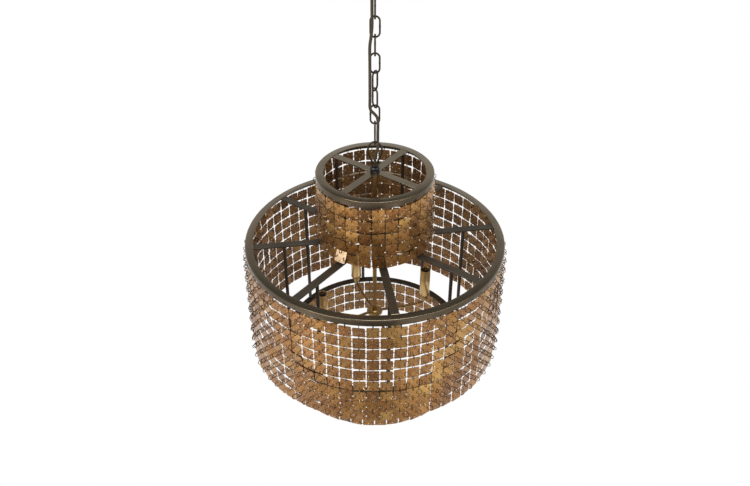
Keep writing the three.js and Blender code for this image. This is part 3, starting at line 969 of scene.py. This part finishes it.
# Candle lights
candle = {
    "turn": 21,
    "reach": 118,
    "arm": 3.0,
    "sleeve": 11,
    "top": -118,
    "bottom": -186,
    "cup": -203,
    "socket": 60,
}
reach, tube = candle["reach"], candle["sleeve"]
for k in range(4):
    angle = math.radians(candle["turn"] + 90 * k)
    label = str(k + 1)
    cupBottom = lampTop + candle["cup"]
    cupTop = lampTop + candle["bottom"]
    armHeight = hubBottom + 4.5
    route = smoothed(
        [
            (15.5, 0, armHeight + 0.2),
            (0.3 * reach, 0, armHeight - 3),
            (0.6 * reach, 0, armHeight - 7),
            (0.85 * reach, 0, cupBottom - 5.5),
            (0.97 * reach, 0, cupBottom - 3.5),
            (reach, 0, cupBottom + 2),
        ],
        8,
    )
    arm = sweep(route, candle["arm"], 16)
    cup = lathe(
        [
            (0, cupBottom),
            (4.6, cupBottom),
            (5.6, cupBottom + 0.8),
            (6.4, cupBottom + 3),
            (8.2, cupBottom + 5.4),
            (8.8, cupBottom + 9),
            (9.0, cupTop - 4),
            (10.8, cupTop - 2.6),
            (11.5, cupTop - 1.8),
            (11.5, cupTop - 0.3),
            (11.2, cupTop),
            (0, cupTop),
        ],
        36,
        closed=False,
    )
    shape = joinShapes([arm, moved(cup, (reach, 0, 0))])
    piece("lightArm" + label, moved(shape, angle=angle), brass, "lamp", ["arm_" + label])
    bottom, top = cupTop + 0.3, lampTop + candle["top"]
    sleeve = lathe(
        [
            (tube - 1.2, bottom),
            (tube - 0.2, bottom),
            (tube, bottom + 0.3),
            (tube, top - 0.5),
            (tube - 0.3, top),
            (tube - 0.9, top),
            (tube - 1.2, top - 0.4),
        ],
        40,
    )
    sleeve = moved(sleeve, (reach, 0, 0), angle)
    piece("candleSleeve" + label, sleeve, sleeveBrass, "lamp", ["sleeve_" + label])
    socketTop = bottom + candle["socket"]
    socket = lathe(
        [
            (0, bottom),
            (8, bottom),
            (8, socketTop - 1),
            (7.4, socketTop),
            (6.4, socketTop),
            (6.2, socketTop - 1),
            (6.2, socketTop - 24),
            (2.4, socketTop - 24),
            (2.2, socketTop - 22),
            (0, socketTop - 22),
        ],
        32,
        closed=False,
    )
    socket = moved(socket, (reach, 0, 0), angle)
    piece("lampHolder" + label, socket, holder, "lamp", ["socket_" + label])
print("stem, hub and lights made")

# Loops, chain and canopy
loopLook = {"wire": 4, "height": 48, "halfWidth": 13.5, "collar": 8, "collarHeight": 4}
loopCrown = loopLook["height"] - loopLook["wire"] / 2
canopy = {"radius": 62.5, "depth": 28, "wall": 2, "screwReach": 38}
collarBase = -(canopy["depth"] + 0.3 + loopLook["collarHeight"])
canopyBar = collarBase - loopCrown
linkLook = {"wire": 3.5, "gap": 0.4, "length": 41.3, "width": 20.3, "endLength": 50.6, "endWidth": 14.4}
linkTurns = [0, 90, 0, 90, 0, 60, 120, 180]


def loopShape(stub):
    shoulder, crown = loopLook["halfWidth"], loopCrown
    side = [(5.4, -2), (6.2, 0.11 * crown)]
    side += [(0.7 * shoulder, 0.29 * crown), (0.93 * shoulder, 0.47 * crown)]
    side += [(shoulder, 0.63 * crown), (0.8 * shoulder, 0.85 * crown), (0.42 * shoulder, 0.97 * crown)]
    route = side + [(0, crown)] + [(-a, b) for a, b in reversed(side)]
    bow = sweep(smoothed([(a, 0, b) for a, b in route], 6), loopLook["wire"] / 2, 16)
    collar, foot = loopLook["collar"], -loopLook["collarHeight"]
    if stub:
        end = foot - stub
        profile = [(3.2, end + 0.8), (3.6, end), (5, end), (5, foot), (collar, foot)]
    else:
        profile = [(3.2, foot), (7.6, foot), (collar, foot + 0.4)]
    profile += [(8.2, -2), (7.6, -0.4), (7, 0), (3.2, 0)]
    return joinShapes([bow, lathe(profile, 40)])


def rotated(shape, matrix):
    points, faces = shape
    return [tuple(matrix @ Vector(p)) for p in points], faces


def seam(share):
    return 1 + 0.16 * math.exp(-(((share - 0.93) / 0.012) ** 2))


def linkShape(length, width, top, bottom, turn):
    radius = (width - linkLook["wire"]) / 2
    halfSide = (length - width) / 2
    route = []
    for sign, start in ((1, 0), (-1, math.pi)):
        for i in range(15):
            a = start + math.pi * i / 14
            route.append(Vector((radius * math.cos(a), 0, sign * halfSide + radius * math.sin(a))))
        for i in range(1, 6):
            route.append(Vector((-sign * radius, 0, sign * halfSide * (1 - 2 * i / 6))))
    shape = sweep(route, linkLook["wire"] / 2, 14, closed=True, swell=seam)
    return moved(moved(shape, angle=math.radians(turn)), (0, 0, (top + bottom) / 2))


bar = canopyBar
wireAbove = loopLook["wire"]
linkBars = {}
for i, linkTurn in enumerate(linkTurns):
    top = bar + (wireAbove + linkLook["wire"]) / 2 + linkLook["gap"]
    bottom = top - (linkLook["length"] - linkLook["wire"])
    label = str(9 - i)
    linkBars[9 - i] = (top, bottom)
    shape = linkShape(linkLook["length"], linkLook["width"], top, bottom, linkTurn)
    body = "link_" + label
    piece("chainLink" + label, shape, chainBronze, body, [body], sharp=180)
    bar, wireAbove = bottom, linkLook["wire"]
endTop = bar + linkLook["wire"] + linkLook["gap"]
endBottom = endTop - (linkLook["endLength"] - linkLook["wire"])
shape = linkShape(linkLook["endLength"], linkLook["endWidth"], endTop, endBottom, 90)
piece("chainEndLink", shape, chainBronze, "end_link", ["end_link"], sharp=180)
linkBars[1] = (endTop, endBottom)
lampBar = endBottom + (linkLook["wire"] + loopLook["wire"]) / 2 + linkLook["gap"]
hangingLoop = moved(loopShape(0), (0, 0, lampBar - loopCrown))
piece("hangingLoopBow", hangingLoop, chainBronze, "lamp", ["hanging_loop"])
flip = Matrix.Rotation(math.pi / 2, 3, "Z") @ Matrix.Rotation(math.pi, 3, "X")
canopyLoop = moved(rotated(loopShape(9), flip), (0, 0, collarBase))
piece("canopyLoopBow", canopyLoop, chainBronze, "ceiling", ["canopy_loop"])

rim, inside = canopy["radius"], canopy["radius"] - canopy["wall"]
under, over = -canopy["depth"], canopy["wall"] - canopy["depth"]
dish = lathe(
    [
        (rim, 0),
        (rim, -3),
        (61.4, -6.5),
        (58.8, -12),
        (55.6, -18),
        (52, -23.4),
        (48, -27),
        (45, under),
        (12, under),
        (5.3, under),
        (5.3, over),
        (44, over),
        (49.6, -22),
        (55, -14),
        (inside, -4),
        (inside, 0),
    ],
    96,
)
piece("canopyDish", dish, bronze, "ceiling", ["canopy"])
for k, side in enumerate((-1, 1)):
    head = lathe(
        [
            (0, -32.35),
            (2.4, -32.2),
            (3.9, -31.2),
            (4.5, -29.8),
            (4.5, -28.6),
            (4.1, -28.3),
            (2, -28.3),
            (2, -0.5),
            (0, -0.5),
        ],
        24,
        closed=False,
    )
    screw = moved(head, (side * canopy["screwReach"], 0, 0))
    piece("canopyScrew" + str(k + 1), screw, brass, "ceiling", ["canopy_screw_" + str(k + 1)])
for name in ("canopy_bracket", "canopy_nut"):
    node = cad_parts[name]
    node.data.materials.clear()
    node.data.materials.append(steel)
print("chain, loops and canopy made")

# Supply wire: one length of woven cord, drawn as one tube for each joint that it crosses
wire = {"radius": 2.8, "sides": 16, "beside": 5.4, "wide": 9.18, "bend": 8, "weave": 1.1, "strands": 4}
beside, wide = wire["beside"], wire["wide"]


def middle(number):
    return sum(linkBars[number]) / 2


crossing = linkBars[3][1]
wirePoints = [
    (0, 17, -1),
    (0, 16, -6),
    (0, 8, -10.1),
    (0, 2, -14),
    (0, 0, -23),
    (0, 0, collarBase - 4),
    (-0.25 * beside, -0.25 * beside, collarBase - 11),
    (-0.8 * beside, -0.8 * beside, collarBase - 24),
    (-beside, -beside, linkBars[9][0] + 5),
    (-beside, -beside, middle(9)),
    (-beside, -beside, middle(8)),
    (-beside, -beside, middle(7)),
    (-0.8 * wide, -beside, linkBars[7][1]),
    (-wide, -beside, middle(6)),
    (-wide, -beside, middle(5)),
    (-wide, -beside, middle(4)),
    (-wide, -beside, middle(3)),
    (-wide, -beside, crossing + 2),
    (-0.75 * wide, -beside, crossing - 5),
    (-0.2 * beside, -beside, crossing - 11),
    (0.7 * beside, -beside, crossing - 18),
    (beside, -beside, endTop + 3),
    (beside, -beside, (endTop + endBottom) / 2),
    (beside, -beside, lampBar + 4),
    (beside, -beside, endBottom - 6),
    (0.7 * beside, -0.7 * beside, endBottom - 14),
    (0.2 * beside, -0.2 * beside, endBottom - 26),
    (0, 0, endBottom - 36),
    (0, 0, endBottom - 60),
    (0, 0, hubBottom + 6),
]
fine = smoothed(wirePoints, 10)
cuts = [1.0] + [middle(n) for n in range(9, 0, -1)] + [hubBottom]
lengths = [0.0]
for a, b in zip(fine, fine[1:]):
    lengths.append(lengths[-1] + (b - a).length)
for k in range(10):
    upper = max(i for i, p in enumerate(fine) if p.z >= cuts[k]) if k else 0
    lower = max(i for i, p in enumerate(fine) if p.z >= cuts[k + 1])
    stretch = fine[upper : lower + 1]
    points, faces = sweep(stretch, wire["radius"], wire["sides"])
    if k > 0:
        faces.pop(-2)
    if k < 9:
        faces.pop(-1)
    label = "supplyWire" + str(k + 1)
    made = piece(label, (points, faces), cloth, None, ["supply_wire"], sharp=180)
    weave = []
    for i in range(len(stretch)):
        for j in range(wire["sides"]):
            phase = lengths[upper + i] * wire["weave"]
            around = 2 * math.pi * j / wire["sides"] * wire["strands"]
            weave.append(0.5 + 0.5 * math.sin(phase + around) * math.sin(phase - around))
    attribute = made.data.attributes.new("weave", "FLOAT", "POINT")
    attribute.data.foreach_set("value", weave)
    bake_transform(made)
print("supply wire made")
